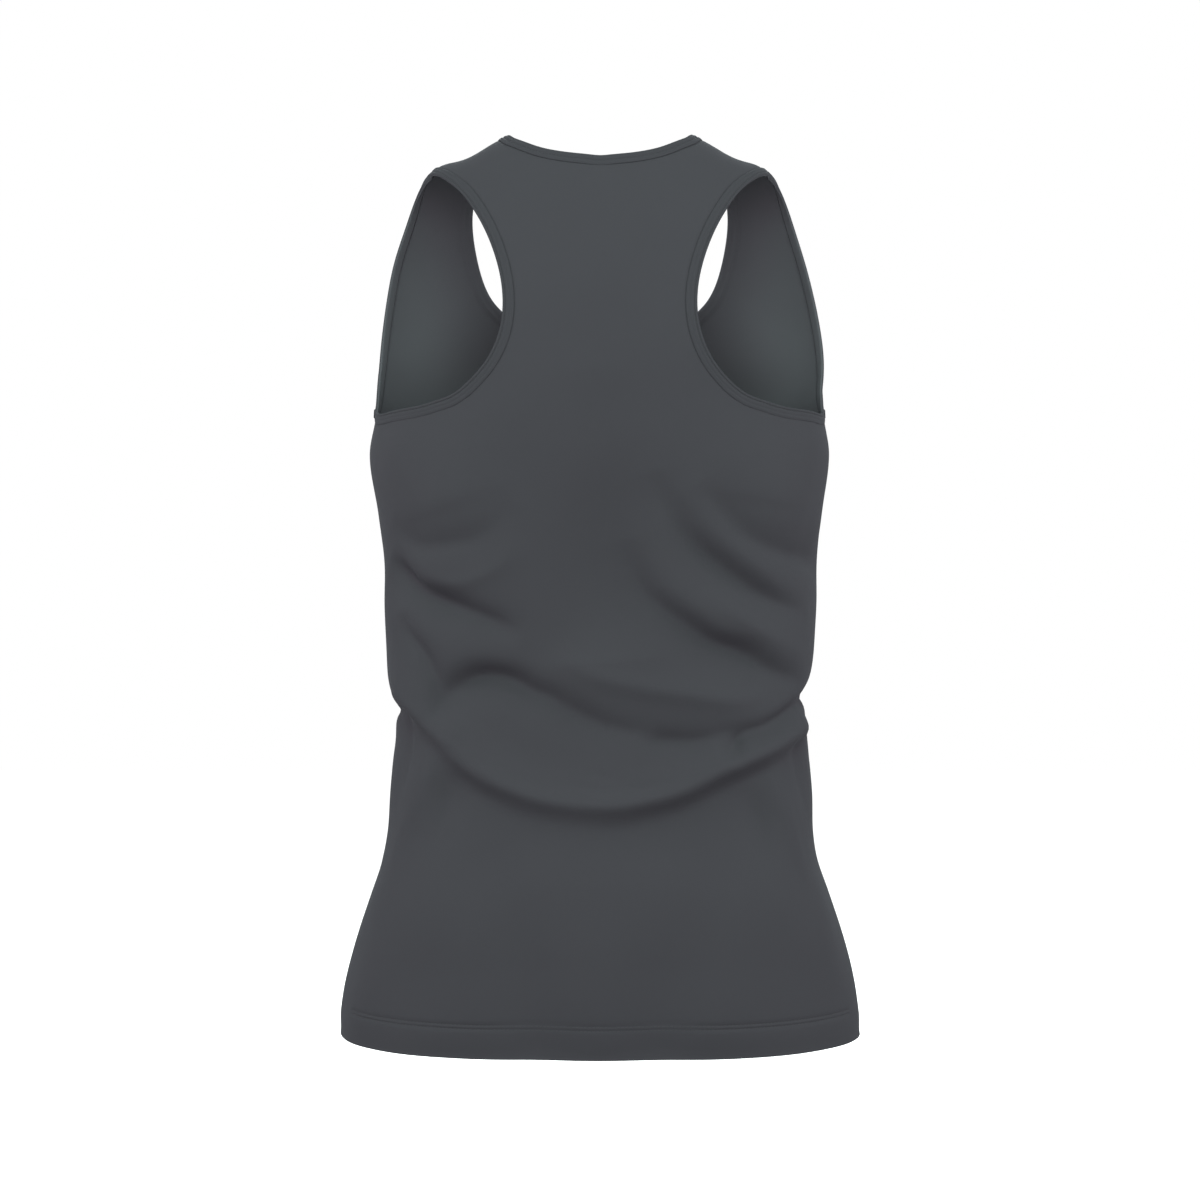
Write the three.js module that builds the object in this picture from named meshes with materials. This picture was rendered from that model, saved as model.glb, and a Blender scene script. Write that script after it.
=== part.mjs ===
// Racerback tank top, filled out as when worn, with no wearer. Sizes are in millimetres.
// +X is the wearer's left, +Y the wearer's back and +Z up. The origin lies midway between the straps,
// where the shoulders carry the garment.
import * as THREE from 'three';

// Cloth and sewing sizes.
const CLOTH = 1.3;
const SEAM_GAP = 0.3;
const HEM_Z = -612.5;
const HEM_DEPTH = 21;
const HEM_STEP = 1.2;
const BINDING_THICK = 2.1;
const BINDING_ROLL = 0.9;
const NECK_BINDING_WIDTH = 7.5;
const ARM_BINDING_WIDTH = 7.0;
const UNDERARM_Z = -184.5;
const SHOULDER_NECK_X = 71.5;
const SHOULDER_ARM_X = 115;

// How finely the cloth is divided.
const BODY_ROWS = 32;
const BACK_CENTRE_ROWS = 24;
const BACK_NECK_ROWS = 10;
const FRONT_NECK_ROWS = 23;
const BACK_COLUMNS = 14;
const FRONT_COLUMNS = 10;
const BACK_TILT_Z = -250;
const BACK_CROWDING = 1.4;
const FRONT_LEAN_ROWS = 8;
const STATIONS_PER_SPAN = 24;
const SMALL_TURN = 0.004;
const SMALL_CLIMB = 0.4;
const ON_SEAM = 1e-6;

// Horizontal sections of the form: height, half width, depth to the back and depth to the front.
const SECTIONS = [
  { z: -612.5, half: 183.0, back: 116, front: 108 },
  { z: -577.0, half: 177.5, back: 113, front: 107 },
  { z: -556.5, half: 172.6, back: 110, front: 106 },
  { z: -535.5, half: 166.6, back: 107, front: 104 },
  { z: -514.5, half: 159.6, back: 103, front: 102 },
  { z: -493.5, half: 152.2, back: 98, front: 99 },
  { z: -472.5, half: 148.0, back: 93, front: 97 },
  { z: -444.0, half: 147.0, back: 88, front: 95 },
  { z: -410.0, half: 147.0, back: 86, front: 93 },
  { z: -380.0, half: 149.0, back: 86, front: 94 },
  { z: -350.0, half: 149.5, back: 88, front: 97 },
  { z: -315.0, half: 150.3, back: 92, front: 103 },
  { z: -290.0, half: 150.5, back: 94, front: 109 },
  { z: -252.0, half: 154.7, back: 97, front: 119 },
  { z: -210.0, half: 160.0, back: 99, front: 124 },
  { z: -178.0, half: 156.5, back: 99, front: 119 },
  { z: -150.0, half: 164.0, back: 98, front: 111 },
  { z: -109.0, half: 173.0, back: 94, front: 102 },
  { z: -66.0, half: 178.0, back: 87, front: 88 },
  { z: -20.0, half: 185.0, back: 77, front: 68 },
  { z: 12.0, half: 189.0, back: 70, front: 60 },
  { z: 40.0, half: 192.0, back: 66, front: 56 },
];
const SQUARENESS = 0.045;
const JERSEY_COLOUR = 0x48494d;
const BINDING_COLOUR = 0x4b4f52;

// Shoulder line: its height at the neck, its slope, how it rounds over the neck and falls off outside.
const SHOULDER = { top: 12, neckX: 66, slope: 0.42, round: 20, fallFrom: 108, fall: 0.012, curl: 45 };

// Cut lines of the panels, where the bindings are sewn on.
const BACK_NECK_CUT = [
  { x: 0, z: -18.5 },
  { x: 18, z: -16.6 },
  { x: 35, z: -12.8 },
  { x: 48, z: -8.0 },
  { x: 60, z: -1.2 },
  { x: 67.5, z: 3.6 },
];
const FRONT_NECK_CUT = [
  { x: 0, z: -132.5 },
  { x: 24, z: -130.4 },
  { x: 46, z: -123.6 },
  { x: 64.5, z: -114.2 },
  { x: 78, z: -103.4 },
  { x: 87.5, z: -92.5 },
  { x: 94.5, z: -76.0 },
  { x: 98.8, z: -55.0 },
  { x: 99.6, z: -36.0 },
  { x: 95.5, z: -19.0 },
  { x: 87, z: -5.0 },
  { x: 77.5, z: 4.6 },
];
const BACK_ARM_CUT = [
  { x: 154.8, z: -187.6 },
  { x: 144.5, z: -190.2 },
  { x: 129.7, z: -190.5 },
  { x: 115, z: -188.9 },
  { x: 100.3, z: -183.8 },
  { x: 86, z: -175.4 },
  { x: 70.1, z: -159.2 },
  { x: 60.2, z: -138.0 },
  { x: 57.1, z: -115.0 },
  { x: 60, z: -91.0 },
  { x: 69, z: -64.5 },
  { x: 80, z: -43.8 },
  { x: 91.5, z: -27.2 },
  { x: 104, z: -17.4 },
  { x: 112.3, z: -12.6 },
];
const FRONT_ARM_CUT = [
  { x: 155.6, z: -174.0 },
  { x: 155.8, z: -158.0 },
  { x: 154.6, z: -133.5 },
  { x: 151.0, z: -106.0 },
  { x: 143.6, z: -73.0 },
  { x: 134.4, z: -46.5 },
  { x: 126.2, z: -25.5 },
  { x: 119.6, z: -14.0 },
];

// Folds. A path runs round the body and down it: turn in degrees from the centre back, positive to the
// wearer's left, and height. Depth is inward, so a ridge is negative. Above and below are half widths.
// Head and tail are the shares of the length over which the fold rises and fades.
const FOLDS = [
  { path: [[68, -280], [39, -305], [17, -331]], depth: 6.0, above: 11, below: 18, head: 0.15, tail: 0.7 },
  { path: [[66, -316], [49, -338], [40, -360]], depth: 3.6, above: 9, below: 14, head: 0.3, tail: 0.5 },
  {
    path: [[43, -379], [34, -359], [24, -357], [8, -377], [-7, -395], [-32, -396]],
    depth: 4.6, above: 10, below: 14, head: 0.2, tail: 0.5,
  },
  { path: [[-64, -375], [-42, -389], [-29, -408]], depth: 4.6, above: 10, below: 13, head: 0.2, tail: 0.5 },
  { path: [[-12, -217], [-25, -244], [-50, -269]], depth: 2.2, above: 12, below: 17, head: 0.4, tail: 0.3 },
  {
    path: [[-11, -234], [-27, -282], [-57, -316]],
    depth: 5.6, above: 13, below: 19, head: 0.6, tail: 0.25,
  },
  { path: [[-5, -271], [-17, -321], [-57, -359]], depth: 5.2, above: 13, below: 18, head: 0.6, tail: 0.2 },
  {
    path: [[70, -376], [45, -399], [30, -414], [12, -434], [-2, -439], [-18, -431], [-38, -409], [-64, -392]],
    depth: -3.4, above: 17, below: 10, head: 0.1, tail: 0.1,
  },
  {
    path: [[68, -398], [45, -419], [31, -432], [12, -452], [-2, -457], [-18, -449], [-38, -429], [-62, -414]],
    depth: 3.6, above: 9, below: 20, head: 0.1, tail: 0.1,
  },
  { path: [[56, -394], [90, -388], [124, -395]], depth: 6.6, above: 9, below: 24, head: 0.4, tail: 0.4 },
  { path: [[-58, -382], [-90, -378], [-122, -388]], depth: 6.6, above: 9, below: 24, head: 0.4, tail: 0.4 },
  { path: [[43, -405], [53, -440], [63, -470]], depth: -3.0, above: 12, below: 12, head: 0.3, tail: 0.5 },
  {
    path: [[-44, -420], [-54, -444], [-63, -472]],
    depth: -3.0, above: 12, below: 12, head: 0.3, tail: 0.5,
  },
  { path: [[44, -430], [36, -446], [28, -462]], depth: 2.6, above: 14, below: 14, head: 0.4, tail: 0.5 },
  { path: [[0, -140], [1, -225], [0, -318]], depth: 4.0, above: 30, below: 30, head: 0.5, tail: 0.5 },
  { path: [[41, -190], [33, -206], [27, -222]], depth: -3.0, above: 26, below: 26, head: 0.5, tail: 0.5 },
  {
    path: [[-41, -190], [-34, -206], [-28, -222]],
    depth: -3.0, above: 26, below: 26, head: 0.5, tail: 0.5,
  },
  { path: [[62, -238], [42, -260], [26, -281]], depth: 2.4, above: 15, below: 15, head: 0.4, tail: 0.5 },
  { path: [[20, -490], [15, -530], [12, -575]], depth: 2.2, above: 24, below: 24, head: 0.5, tail: 0.5 },
  { path: [[-14, -480], [-17, -525], [-20, -575]], depth: 2.2, above: 24, below: 24, head: 0.5, tail: 0.5 },
  { path: [[114, -296], [137, -318], [158, -346]], depth: 4.6, above: 10, below: 16, head: 0.2, tail: 0.6 },
  {
    path: [[-112, -288], [-138, -322], [-162, -340]],
    depth: 4.8, above: 10, below: 16, head: 0.2, tail: 0.6,
  },
  {
    path: [[120, -356], [143, -372], [172, -366], [200, -384]],
    depth: 4.0, above: 11, below: 15, head: 0.3, tail: 0.4,
  },
  {
    path: [[-120, -340], [-140, -362], [-156, -372]],
    depth: 3.8, above: 10, below: 14, head: 0.3, tail: 0.5,
  },
  {
    path: [[110, -384], [135, -408], [160, -428], [182, -434], [205, -426], [226, -406], [249, -386]],
    depth: -3.2, above: 18, below: 11, head: 0.12, tail: 0.12,
  },
  {
    path: [[113, -404], [136, -428], [160, -447], [182, -453], [205, -445], [226, -426], [246, -406]],
    depth: 3.4, above: 10, below: 20, head: 0.12, tail: 0.12,
  },
  {
    path: [[128, -425], [124, -450], [118, -478]],
    depth: -2.8, above: 13, below: 13, head: 0.3, tail: 0.5,
  },
  {
    path: [[-130, -428], [-126, -452], [-119, -474]],
    depth: -2.8, above: 13, below: 13, head: 0.3, tail: 0.5,
  },
  { path: [[180, -215], [179, -262], [181, -320]], depth: 2.5, above: 30, below: 30, head: 0.5, tail: 0.5 },
  { path: [[162, -500], [165, -535], [168, -580]], depth: 2.0, above: 24, below: 24, head: 0.5, tail: 0.5 },
];

const RADIAN = Math.PI / 180;

function mix(a, b, share) {
  return a + (b - a) * share;
}

function smoothStep(t) {
  const s = Math.min(1, Math.max(0, t));
  return s * s * (3 - 2 * s);
}

// Slope of a column of the section table at a row, from its neighbours.
function sectionSlope(row, column) {
  const last = SECTIONS.length - 1;
  const slopes = [];
  const steps = [];
  for (const low of [row - 1, row]) {
    if (low >= 0 && low < last) {
      const step = SECTIONS[low + 1].z - SECTIONS[low].z;
      steps.push(step);
      slopes.push((SECTIONS[low + 1][column] - SECTIONS[low][column]) / step);
    }
  }
  if (slopes.length === 1) {
    return slopes[0];
  }
  return (slopes[0] * steps[1] + slopes[1] * steps[0]) / (steps[0] + steps[1]);
}

// A column of the section table at any height, as a smooth curve through its rows.
function sectionValue(z, column) {
  const last = SECTIONS.length - 1;
  const height = Math.min(SECTIONS[last].z, Math.max(SECTIONS[0].z, z));
  let row = 0;
  while (row < last - 1 && SECTIONS[row + 1].z < height) {
    row += 1;
  }
  const step = SECTIONS[row + 1].z - SECTIONS[row].z;
  const t = (height - SECTIONS[row].z) / step;
  const t2 = t * t;
  const t3 = t2 * t;
  const start = (2 * t3 - 3 * t2 + 1) * SECTIONS[row][column];
  const startSlope = (t3 - 2 * t2 + t) * step * sectionSlope(row, column);
  const end = (3 * t2 - 2 * t3) * SECTIONS[row + 1][column];
  const endSlope = (t3 - t2) * step * sectionSlope(row + 1, column);
  return start + startSlope + end + endSlope;
}

function ringX(turn) {
  return (Math.sin(turn) + SQUARENESS * Math.sin(3 * turn)) / (1 - SQUARENESS);
}

function ringY(turn) {
  return (Math.cos(turn) - SQUARENESS * Math.cos(3 * turn)) / (1 - SQUARENESS);
}

// Turn, between the centre and the side, at which a section is x wide.
function turnAt(x, z) {
  const share = Math.min(1, x / sectionValue(z, 'half'));
  let low = 0;
  let high = Math.PI / 2;
  for (let i = 0; i < 40; i += 1) {
    const middle = (low + high) / 2;
    if (ringX(middle) < share) {
      low = middle;
    } else {
      high = middle;
    }
  }
  return (low + high) / 2;
}

function shoulderZ(x) {
  const out = Math.hypot(x, SHOULDER.round) - Math.hypot(SHOULDER.neckX, SHOULDER.round);
  const beyond = Math.max(0, Math.abs(x) - SHOULDER.fallFrom);
  return SHOULDER.top - SHOULDER.slope * out - SHOULDER.fall * beyond * beyond;
}

// Drop below the shoulder line for a distance gone down the cloth from it, and the other way round.
function dropFor(climb) {
  return Math.hypot(climb, SHOULDER.curl) - SHOULDER.curl;
}

function climbFor(turn, z) {
  const x = sectionValue(z, 'half') * ringX(turn);
  const drop = Math.max(0, shoulderZ(x) - z);
  return Math.sqrt((drop + SHOULDER.curl) ** 2 - SHOULDER.curl ** 2);
}

// Point of the smooth form at a turn round the body and a distance down from the shoulder line.
function formPoint(turn, climb) {
  const drop = dropFor(climb);
  let z = -drop;
  let x = 0;
  for (let i = 0; i < 25; i += 1) {
    x = sectionValue(z, 'half') * ringX(turn);
    z = shoulderZ(x) - drop;
  }
  const depth = sectionValue(z, Math.cos(turn) > 0 ? 'back' : 'front');
  const arch = Math.sign(climb) * Math.sqrt(1 - Math.exp(-drop / SHOULDER.curl));
  return new THREE.Vector3(x, depth * ringY(turn) * arch, z);
}

function formNormal(turn, climb) {
  const along = formPoint(turn + SMALL_TURN, climb).sub(formPoint(turn - SMALL_TURN, climb));
  const down = formPoint(turn, climb + SMALL_CLIMB).sub(formPoint(turn, climb - SMALL_CLIMB));
  return along.cross(down).normalize();
}

// Each fold as a line of points on the form.
function foldLine(fold) {
  const marks = fold.path.map(([turn, z]) => new THREE.Vector3(turn, z, 0));
  const curve = new THREE.CatmullRomCurve3(marks);
  const points = curve.getPoints(STATIONS_PER_SPAN).map((mark) => {
    const turn = mark.x * RADIAN;
    return formPoint(turn, climbFor(turn, mark.y));
  });
  return { ...fold, points };
}

const FOLD_LINES = FOLDS.map(foldLine);

// How far one fold moves a point of the form inward.
function foldDepth(fold, point) {
  let nearest = Infinity;
  let share = 0;
  let height = 0;
  const spans = fold.points.length - 1;
  for (let i = 0; i < spans; i += 1) {
    const span = fold.points[i + 1].clone().sub(fold.points[i]);
    const reach = point.clone().sub(fold.points[i]);
    const t = Math.min(1, Math.max(0, reach.dot(span) / span.lengthSq()));
    const foot = fold.points[i].clone().addScaledVector(span, t);
    const distance = foot.distanceTo(point);
    if (distance < nearest) {
      nearest = distance;
      share = (i + t) / spans;
      height = point.z - foot.z;
    }
  }
  const width = height > 0 ? fold.above : fold.below;
  const across = Math.exp(-((nearest / width) ** 2));
  const along = smoothStep(share / fold.head) * smoothStep((1 - share) / fold.tail);
  return fold.depth * across * along;
}

// Cloth point with its folds, and the direction out of the cloth.
function clothPoint(turn, climb) {
  const point = formPoint(turn, climb);
  const normal = formNormal(turn, climb);
  const inward = FOLD_LINES.reduce((sum, fold) => sum + foldDepth(fold, point), 0);
  point.addScaledVector(normal, -inward);
  return { point, normal };
}

// A cut line as evenly spaced places on the form. The two extra places only give its end directions.
function cutLine(rows, before, after, first, last, count) {
  const inside = rows.map(({ x, z }) => {
    const turn = turnAt(x, z);
    return new THREE.Vector3(turn / RADIAN, climbFor(turn, z), 0);
  });
  const marks = [...first, ...inside, ...last];
  const curve = new THREE.CatmullRomCurve3([before(marks), ...marks, after(marks)]);
  const spans = marks.length + 1;
  const fine = [];
  const steps = (marks.length - 1) * STATIONS_PER_SPAN;
  for (let i = 0; i <= steps; i += 1) {
    fine.push(curve.getPoint((1 + i / STATIONS_PER_SPAN) / spans));
  }
  const placed = fine.map((mark) => formPoint(mark.x * RADIAN, mark.y));
  const lengths = [0];
  for (let i = 1; i <= steps; i += 1) {
    lengths.push(lengths[i - 1] + placed[i].distanceTo(placed[i - 1]));
  }
  const line = [];
  for (let k = 0; k <= count; k += 1) {
    const target = (lengths[steps] * k) / count;
    let i = 1;
    while (i < steps && lengths[i] < target) {
      i += 1;
    }
    const share = (target - lengths[i - 1]) / (lengths[i] - lengths[i - 1]);
    const mark = fine[i - 1].clone().lerp(fine[i], share);
    line.push({ turn: mark.x * RADIAN, climb: mark.y });
  }
  return line;
}

// Marks beyond the ends of a cut line: over the centre line, over the shoulder and past the side seam.
const overCentre = (marks) => new THREE.Vector3(-marks[1].x, marks[1].y, 0);
const overShoulder = (marks) => {
  const near = marks[marks.length - 2];
  return new THREE.Vector3(near.x, -near.y, 0);
};
const pastSide = (marks) => new THREE.Vector3(180 - marks[1].x, marks[1].y, 0);

function shoulderMark(x) {
  return new THREE.Vector3(turnAt(x, shoulderZ(x)) / RADIAN, 0, 0);
}

const underarmMark = new THREE.Vector3(90, climbFor(Math.PI / 2, UNDERARM_Z), 0);
const neckEnd = [shoulderMark(SHOULDER_NECK_X)];
const armEnd = [shoulderMark(SHOULDER_ARM_X)];

const backUpperRows = BACK_CENTRE_ROWS + BACK_NECK_ROWS;
const backNeck = cutLine(BACK_NECK_CUT, overCentre, overShoulder, [], neckEnd, BACK_NECK_ROWS);
const frontNeck = cutLine(FRONT_NECK_CUT, overCentre, overShoulder, [], neckEnd, FRONT_NECK_ROWS);
const backArm = cutLine(BACK_ARM_CUT, pastSide, overShoulder, [underarmMark], armEnd, backUpperRows);
const frontArm = cutLine(FRONT_ARM_CUT, pastSide, overShoulder, [underarmMark], armEnd, FRONT_NECK_ROWS);

// Heights of the rows below the underarm, at the centre or at the side. The first ones make the hem.
function bodyHeights(topZ) {
  const hemTop = HEM_Z + HEM_DEPTH;
  const heights = [HEM_Z, mix(HEM_Z, hemTop, 0.5), hemTop, hemTop + HEM_STEP];
  const rest = BODY_ROWS - heights.length + 1;
  for (let i = 1; i <= rest; i += 1) {
    heights.push(mix(hemTop + HEM_STEP, topZ, i / rest));
  }
  return heights;
}

function placeAtHeight(turn, z) {
  return { turn, climb: climbFor(turn, z) };
}

// Rows of one half panel, each from its inner to its outer place, and how far it follows the shoulder.
function bodyRowsOf(centreTopZ) {
  const centre = bodyHeights(centreTopZ);
  const side = bodyHeights(UNDERARM_Z);
  return centre.map((z, row) => ({
    inner: placeAtHeight(0, z),
    outer: placeAtHeight(Math.PI / 2, side[row]),
    lean: 0,
  }));
}

function backRows() {
  const rows = bodyRowsOf(BACK_TILT_Z);
  for (let row = 1; row <= backUpperRows; row += 1) {
    const rise = (row / BACK_CENTRE_ROWS) ** BACK_CROWDING;
    const z = mix(BACK_TILT_Z, BACK_NECK_CUT[0].z, rise);
    const onNeck = row > BACK_CENTRE_ROWS;
    const inner = onNeck ? backNeck[row - BACK_CENTRE_ROWS] : placeAtHeight(0, z);
    rows.push({ inner, outer: backArm[row], lean: smoothStep(row / BACK_CENTRE_ROWS) });
  }
  return rows;
}

function frontRows() {
  const rows = bodyRowsOf(FRONT_NECK_CUT[0].z);
  for (let row = 1; row <= FRONT_NECK_ROWS; row += 1) {
    rows.push({ inner: frontNeck[row], outer: frontArm[row], lean: smoothStep(row / FRONT_LEAN_ROWS) });
  }
  return rows;
}

// Place on a row at a share of its way from the inner to the outer end.
function placeOnRow({ inner, outer, lean }, share) {
  const turn = mix(inner.turn, outer.turn, share);
  const innerZ = formPoint(inner.turn, inner.climb).z;
  const outerZ = formPoint(outer.turn, outer.climb).z;
  const level = climbFor(turn, mix(innerZ, outerZ, share));
  return { turn, climb: mix(level, mix(inner.climb, outer.climb, share), lean) };
}

// Turn and shift that put a half panel on the back or front and on the left or right of the body.
function clothAt({ turn, climb }, isFront, side) {
  const round = side * (isFront ? Math.PI - turn : turn);
  const { point, normal } = clothPoint(round, climb);
  const onSeam = Math.PI / 2 - turn < ON_SEAM || climb < ON_SEAM;
  if (onSeam) {
    point.y += (isFront ? -0.5 : 0.5) * SEAM_GAP;
  }
  return { point, normal };
}

// A closed wall from an outer surface, its directions out and a thickness at each point.
function closedWall(points, normals, thickness, triangles) {
  const count = points.length;
  const inside = points.map((point, i) => point.clone().addScaledVector(normals[i], -thickness[i]));
  const index = [];
  const used = new Set();
  for (const [a, b, c] of triangles) {
    index.push(a, b, c, a + count, c + count, b + count);
    used.add(`${a},${b}`);
    used.add(`${b},${c}`);
    used.add(`${c},${a}`);
  }
  for (const edge of used) {
    const [a, b] = edge.split(',').map(Number);
    if (!used.has(`${b},${a}`)) {
      index.push(b, a, a + count, b, a + count, b + count);
    }
  }
  const geometry = new THREE.BufferGeometry().setFromPoints([...points, ...inside]);
  geometry.setIndex(index);
  return geometry;
}

// One panel: both halves share the points of the centre line below the neck.
function panelGeometry(rows, columns, lastCentreRow, isFront) {
  const points = [];
  const normals = [];
  const thickness = [];
  const triangles = [];
  const centre = [];
  for (const side of [1, -1]) {
    const grid = rows.map((row, r) => {
      const line = [];
      for (let c = 0; c <= columns; c += 1) {
        if (c === 0 && side === -1 && r <= lastCentreRow) {
          line.push(centre[r]);
          continue;
        }
        const cloth = clothAt(placeOnRow(row, c / columns), isFront, side);
        line.push(points.length);
        points.push(cloth.point);
        normals.push(cloth.normal);
        thickness.push(cloth.point.z < HEM_Z + HEM_DEPTH + 0.5 * HEM_STEP ? 2 * CLOTH : CLOTH);
      }
      centre[r] = side === 1 ? line[0] : centre[r];
      return line;
    });
    const outward = side * (isFront ? 1 : -1);
    for (let r = 0; r + 1 < grid.length; r += 1) {
      for (let c = 0; c < columns; c += 1) {
        const quad = [grid[r][c], grid[r][c + 1], grid[r + 1][c + 1], grid[r + 1][c]];
        if (outward < 0) {
          quad.reverse();
        }
        triangles.push([quad[0], quad[1], quad[2]], [quad[0], quad[2], quad[3]]);
      }
    }
  }
  return closedWall(points, normals, thickness, triangles);
}

// Binding section: distance out from the cut line and height over the cloth's outer face.
function bindingSection(width) {
  const high = (BINDING_THICK - CLOTH) / 2;
  const low = high - BINDING_THICK;
  const rim = SEAM_GAP + width;
  return [
    { out: SEAM_GAP, up: high },
    { out: rim - BINDING_ROLL, up: high },
    { out: rim, up: high - BINDING_ROLL },
    { out: rim, up: low + BINDING_ROLL },
    { out: rim - BINDING_ROLL, up: low },
    { out: SEAM_GAP, up: low },
  ];
}

// A closed binding along a ring of cloth points, on the side of the ring that the cloth leaves open.
function bindingGeometry(ring, width, openSide) {
  const section = bindingSection(width);
  const points = [];
  const index = [];
  const count = ring.length;
  ring.forEach(({ point, normal }, k) => {
    const ahead = ring[(k + 1) % count].point.clone().sub(point).normalize();
    const behind = point.clone().sub(ring[(k + count - 1) % count].point).normalize();
    const out = normal.clone().cross(ahead.add(behind)).normalize().multiplyScalar(openSide);
    for (const corner of section) {
      points.push(point.clone().addScaledVector(out, corner.out).addScaledVector(normal, corner.up));
    }
  });
  const sides = section.length;
  for (let k = 0; k < count; k += 1) {
    const next = (k + 1) % count;
    for (let s = 0; s < sides; s += 1) {
      const t = (s + 1) % sides;
      const quad = [k * sides + s, k * sides + t, next * sides + t, next * sides + s];
      if (openSide > 0) {
        quad.reverse();
      }
      index.push(quad[0], quad[1], quad[2], quad[0], quad[2], quad[3]);
    }
  }
  const geometry = new THREE.BufferGeometry().setFromPoints(points);
  geometry.setIndex(index);
  return geometry;
}

// The neck ring runs round the back neck and returns round the front one.
function neckRing() {
  const back = (side) => backNeck.map((place) => clothAt(place, false, side));
  const front = (side) => frontNeck.map((place) => clothAt(place, true, side));
  const shoulders = (side) => {
    const joined = [...back(side).slice(0, -1), seamMiddle(neckEnd[0], side)];
    return [...joined, ...front(side).slice(0, -1).reverse()];
  };
  const left = shoulders(1);
  const right = shoulders(-1).slice(1, -1).reverse();
  return [...left, ...right];
}

// An armhole ring runs from the underarm up the back, over the shoulder and down the front.
function armRing(side) {
  const back = backArm.slice(1, -1).map((place) => clothAt(place, false, side));
  const front = frontArm.slice(1, -1).map((place) => clothAt(place, true, side));
  return [seamMiddle(underarmMark, side), ...back, seamMiddle(armEnd[0], side), ...front.reverse()];
}

// Middle of the gap between the panels where a seam reaches a cut line.
function seamMiddle(mark, side) {
  return clothPoint(side * mark.x * RADIAN, mark.y);
}

function clothMaterial(hex) {
  return new THREE.MeshStandardMaterial({ color: hex, roughness: 0.9, metalness: 0 });
}

const group = new THREE.Group();

function addPiece(name, geometry, hex) {
  const mesh = new THREE.Mesh(geometry, clothMaterial(hex));
  mesh.name = name;
  group.add(mesh);
}

const lastBackCentre = BODY_ROWS + BACK_CENTRE_ROWS;
addPiece('back_panel', panelGeometry(backRows(), BACK_COLUMNS, lastBackCentre, false), JERSEY_COLOUR);
addPiece('front_panel', panelGeometry(frontRows(), FRONT_COLUMNS, BODY_ROWS, true), JERSEY_COLOUR);
addPiece('neck_binding', bindingGeometry(neckRing(), NECK_BINDING_WIDTH, -1), BINDING_COLOUR);
addPiece('armhole_binding_left', bindingGeometry(armRing(1), ARM_BINDING_WIDTH, 1), BINDING_COLOUR);
addPiece('armhole_binding_right', bindingGeometry(armRing(-1), ARM_BINDING_WIDTH, -1), BINDING_COLOUR);

export default group;
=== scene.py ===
"""Racerback tank top in dark slate jersey, filled out as when worn, with no wearer."""
import math

import bpy
import numpy as np
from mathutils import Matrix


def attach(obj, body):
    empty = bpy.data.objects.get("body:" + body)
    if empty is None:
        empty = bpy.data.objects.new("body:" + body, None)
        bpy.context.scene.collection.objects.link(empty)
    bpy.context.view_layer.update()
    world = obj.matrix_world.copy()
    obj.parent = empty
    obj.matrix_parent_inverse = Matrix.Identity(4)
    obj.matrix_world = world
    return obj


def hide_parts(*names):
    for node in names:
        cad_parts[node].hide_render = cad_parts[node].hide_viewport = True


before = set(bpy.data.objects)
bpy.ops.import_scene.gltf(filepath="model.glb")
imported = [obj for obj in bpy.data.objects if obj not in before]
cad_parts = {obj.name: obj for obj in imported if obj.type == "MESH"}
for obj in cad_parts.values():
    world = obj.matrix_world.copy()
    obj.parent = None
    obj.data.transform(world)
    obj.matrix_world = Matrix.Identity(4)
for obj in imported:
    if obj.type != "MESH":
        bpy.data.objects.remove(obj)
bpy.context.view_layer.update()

# The garment's own sizes are in millimetres, and become metres when a mesh is made.
MM = 0.001
BODY = "root"

# Cloth and sewing sizes.
CLOTH = 1.0
HEM_Z = -612.5
HEM_DEPTH = 21.0
HEM_LAYERS = 2.0
UNDERARM_Z = -184.5
SHOULDER_NECK_X = 71.5
SHOULDER_ARM_X = 115.0
CUT_LINE_STEPS = 24
SEAM_OVERLAP = 0.10

# Horizontal sections of the form.
SECTION_COLUMNS = ("z", "half", "back", "front")
SECTION_ROWS = (
    (-612.5, 183.0, 116, 108),
    (-577.0, 177.5, 113, 107),
    (-556.5, 172.6, 110, 106),
    (-535.5, 166.6, 107, 104),
    (-514.5, 159.6, 103, 102),
    (-493.5, 152.2, 98, 99),
    (-472.5, 148.0, 93, 97),
    (-444.0, 147.0, 88, 95),
    (-410.0, 147.0, 86, 93),
    (-380.0, 149.0, 86, 94),
    (-350.0, 149.5, 88, 97),
    (-315.0, 150.3, 92, 103),
    (-290.0, 150.5, 94, 109),
    (-252.0, 154.7, 97, 119),
    (-210.0, 160.0, 99, 124),
    (-178.0, 156.5, 99, 119),
    (-150.0, 164.0, 98, 111),
    (-109.0, 173.0, 94, 102),
    (-66.0, 178.0, 87, 88),
    (-20.0, 185.0, 77, 68),
    (12.0, 189.0, 70, 60),
    (40.0, 192.0, 66, 56),
)
SQUARENESS = 0.045
HEM_SQUARENESS = 0.018
SQUARE_FROM_Z = -600.0
SQUARE_ABOVE_Z = -500.0

# Shoulder line: height at the neck, slope, rounding over the neck and fall outside.
SHOULDER_TOP = 12.0
SHOULDER_TOP_X = 66.0
SHOULDER_SLOPE = 0.42
SHOULDER_ROUND = 20.0
SHOULDER_FALL_FROM = 104.0
SHOULDER_FALL = 0.016
SHOULDER_CURL = 45.0
SHOULDER_SINK = 4.7
SHOULDER_SINK_X = 92.0
SHOULDER_SINK_HALF = 18.0

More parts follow.
